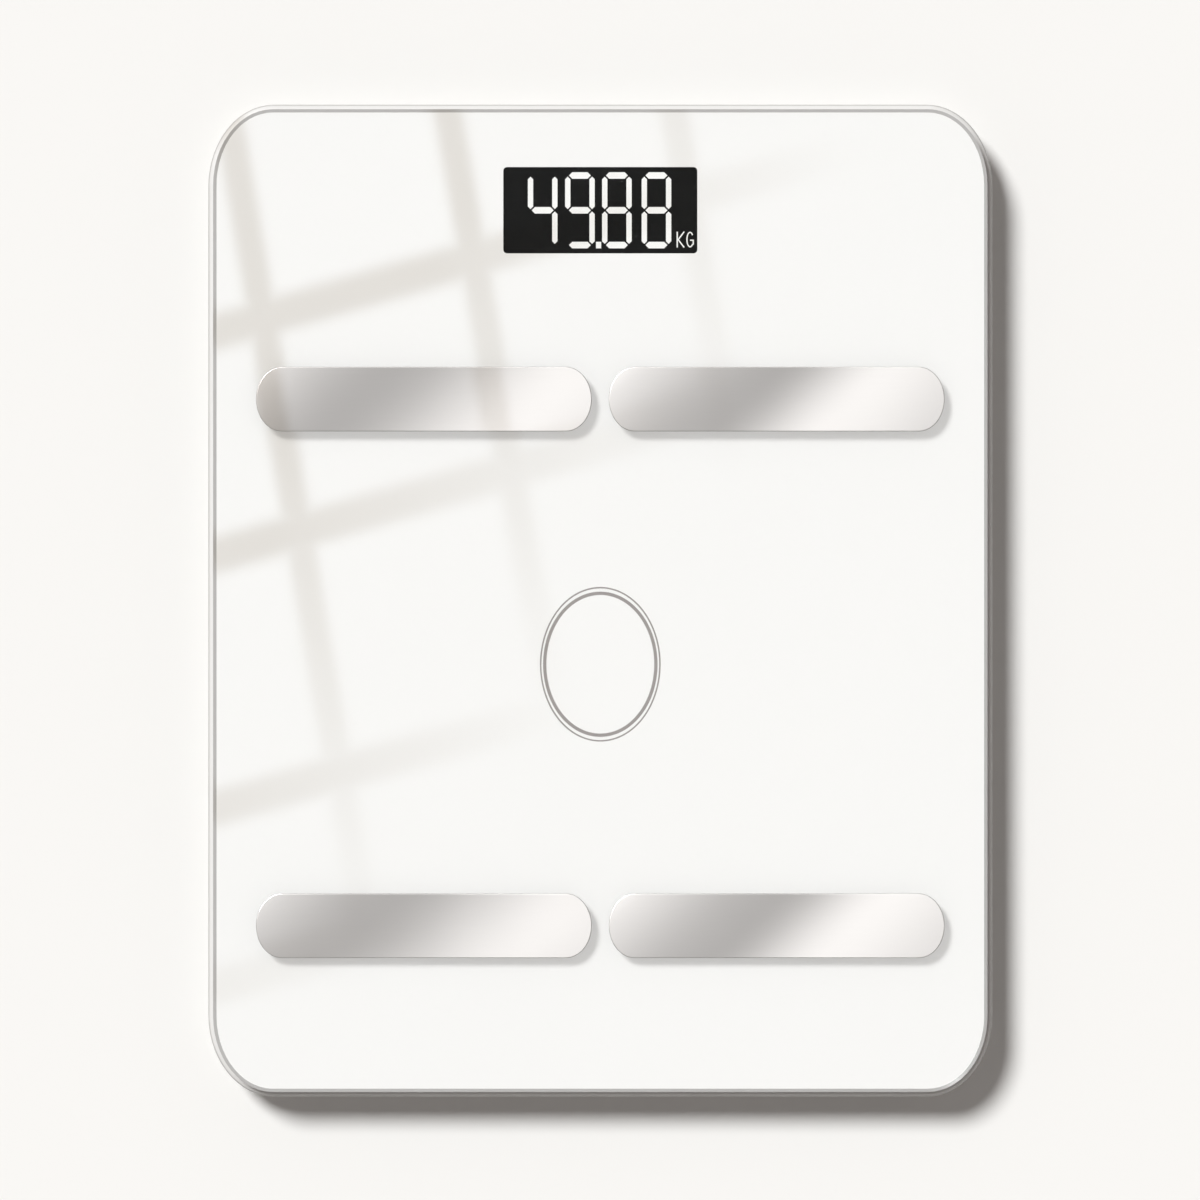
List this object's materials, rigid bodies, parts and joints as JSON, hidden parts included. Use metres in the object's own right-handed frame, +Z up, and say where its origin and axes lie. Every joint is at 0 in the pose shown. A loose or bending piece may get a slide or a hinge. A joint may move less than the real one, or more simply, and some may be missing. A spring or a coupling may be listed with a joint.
{
  "type": "digital bathroom scale",
  "caption": "Flat glass bathroom scale with metal body-composition electrodes, a black digital display, a slim white base, load-sensing feet, a battery door and a unit button.",
  "frame": {"origin": "on the floor under the centre of the scale, at the undersides of the four feet", "axes": "+X to the user's right, +Y towards the display end, +Z up"},
  "size_m": [0.264, 0.334, 0.0241],
  "materials": {
    "clear_glass": "polished tempered glass",
    "white_print": "white ink on the back of the glass",
    "grey_print": "grey ink on the back of the glass",
    "foam_tape": "closed-cell foam tape",
    "stainless_electrode": "fine brushed stainless steel",
    "nickel_plated_steel": "bright nickel plate",
    "tinned_copper": "tin plate",
    "zinc_plated_steel": "zinc plate",
    "spring_steel": "nickel-plated spring steel",
    "shell_plastic": "moulded ABS with a fine texture",
    "button_plastic": "moulded ABS",
    "bracket_plastic": "moulded ABS",
    "foot_plastic": "moulded ABS",
    "foot_rubber": "grey anti-slip rubber",
    "gauge_coating": "white silicone over the strain gauge",
    "black_foam": "black foam gasket",
    "display_glass": "black negative display",
    "backlight_plastic": "white light guide",
    "circuit_board": "green solder mask",
    "chip_resin": "black epoxy over the chip",
    "component_ceramic": "small ceramic capacitors and resistors",
    "connector_plastic": "nylon wire connector",
    "switch_plastic": "small push switch",
    "battery_sleeve": "plain battery sleeve",
    "red_wire": "PVC insulation",
    "black_wire": "PVC insulation",
    "grey_wire": "PVC insulation",
    "sensor_wire": "PVC insulation"
  },
  "bodies": {
    "scale": {"glass_platform": "clear_glass", "backing_film": "white_print", "printed_ring": "grey_print", "perimeter_tape": "foam_tape", "corner_tapes": "foam_tape", "electrode_washers": "nickel_plated_steel", "electrode_nuts": "nickel_plated_steel", "ring_terminals": "tinned_copper", "base_shell": "shell_plastic", "strain_gauges": "gauge_coating", "bracket_screws": "zinc_plated_steel", "board_screws": "zinc_plated_steel", "lcd_gasket": "black_foam", "lcd_panel": "display_glass", "lcd_backlight": "backlight_plastic", "lcd_pins": "tinned_copper", "main_board": "circuit_board", "controller_chip": "chip_resin", "board_components": "component_ceramic", "sensor_connectors": "connector_plastic", "battery_connector": "connector_plastic", "tact_switch": "switch_plastic", "contact_plates": "nickel_plated_steel", "contact_springs": "nickel_plated_steel", "battery_positive_lead": "red_wire", "battery_negative_lead": "black_wire", "electrode_leads_left": "grey_wire", "electrode_leads_right": "grey_wire", "battery_left": "battery_sleeve", "battery_middle": "battery_sleeve", "battery_right": "battery_sleeve", "electrode_toe_left": "stainless_electrode", "load_cell_toe_left": "spring_steel", "cell_bracket_toe_left": "bracket_plastic", "sensor_leads_toe_left": "sensor_wire", "electrode_toe_right": "stainless_electrode", "load_cell_toe_right": "spring_steel", "cell_bracket_toe_right": "bracket_plastic", "sensor_leads_toe_right": "sensor_wire", "electrode_heel_left": "stainless_electrode", "load_cell_heel_left": "spring_steel", "cell_bracket_heel_left": "bracket_plastic", "sensor_leads_heel_left": "sensor_wire", "electrode_heel_right": "stainless_electrode", "load_cell_heel_right": "spring_steel", "cell_bracket_heel_right": "bracket_plastic", "sensor_leads_heel_right": "sensor_wire"},
    "foot_toe_left": {"foot_cup_toe_left": "foot_plastic", "foot_pad_toe_left": "foot_rubber"},
    "foot_toe_right": {"foot_cup_toe_right": "foot_plastic", "foot_pad_toe_right": "foot_rubber"},
    "foot_heel_left": {"foot_cup_heel_left": "foot_plastic", "foot_pad_heel_left": "foot_rubber"},
    "foot_heel_right": {"foot_cup_heel_right": "foot_plastic", "foot_pad_heel_right": "foot_rubber"},
    "door": {"battery_door": "shell_plastic"},
    "button": {"unit_button": "button_plastic", "switch_plunger": "switch_plastic"}
  },
  "joints": [
    {"name": "foot_toe_left_press", "type": "slide", "parent": "scale", "child": "foot_toe_left", "axis": [0, 0, 1], "range_m": [0, 0.0005], "stiffness_N_per_m": 1000, "deforming": ["load_cell_toe_left"]},
    {"name": "foot_toe_right_press", "type": "slide", "parent": "scale", "child": "foot_toe_right", "axis": [0, 0, 1], "range_m": [0, 0.0005], "stiffness_N_per_m": 1000, "deforming": ["load_cell_toe_right"]},
    {"name": "foot_heel_left_press", "type": "slide", "parent": "scale", "child": "foot_heel_left", "axis": [0, 0, 1], "range_m": [0, 0.0005], "stiffness_N_per_m": 1000, "deforming": ["load_cell_heel_left"]},
    {"name": "foot_heel_right_press", "type": "slide", "parent": "scale", "child": "foot_heel_right", "axis": [0, 0, 1], "range_m": [0, 0.0005], "stiffness_N_per_m": 1000, "deforming": ["load_cell_heel_right"]},
    {"name": "battery_door_hinge", "type": "hinge", "parent": "scale", "child": "door", "pos_m": [0, -0.0464, 0.004], "axis": [-1, 0, 0], "range_deg": [0, 60]},
    {"name": "unit_button_press", "type": "slide", "parent": "scale", "child": "button", "axis": [0, 0, 1], "range_m": [0, 0.0005], "stiffness_N_per_m": 3000}
  ]
}
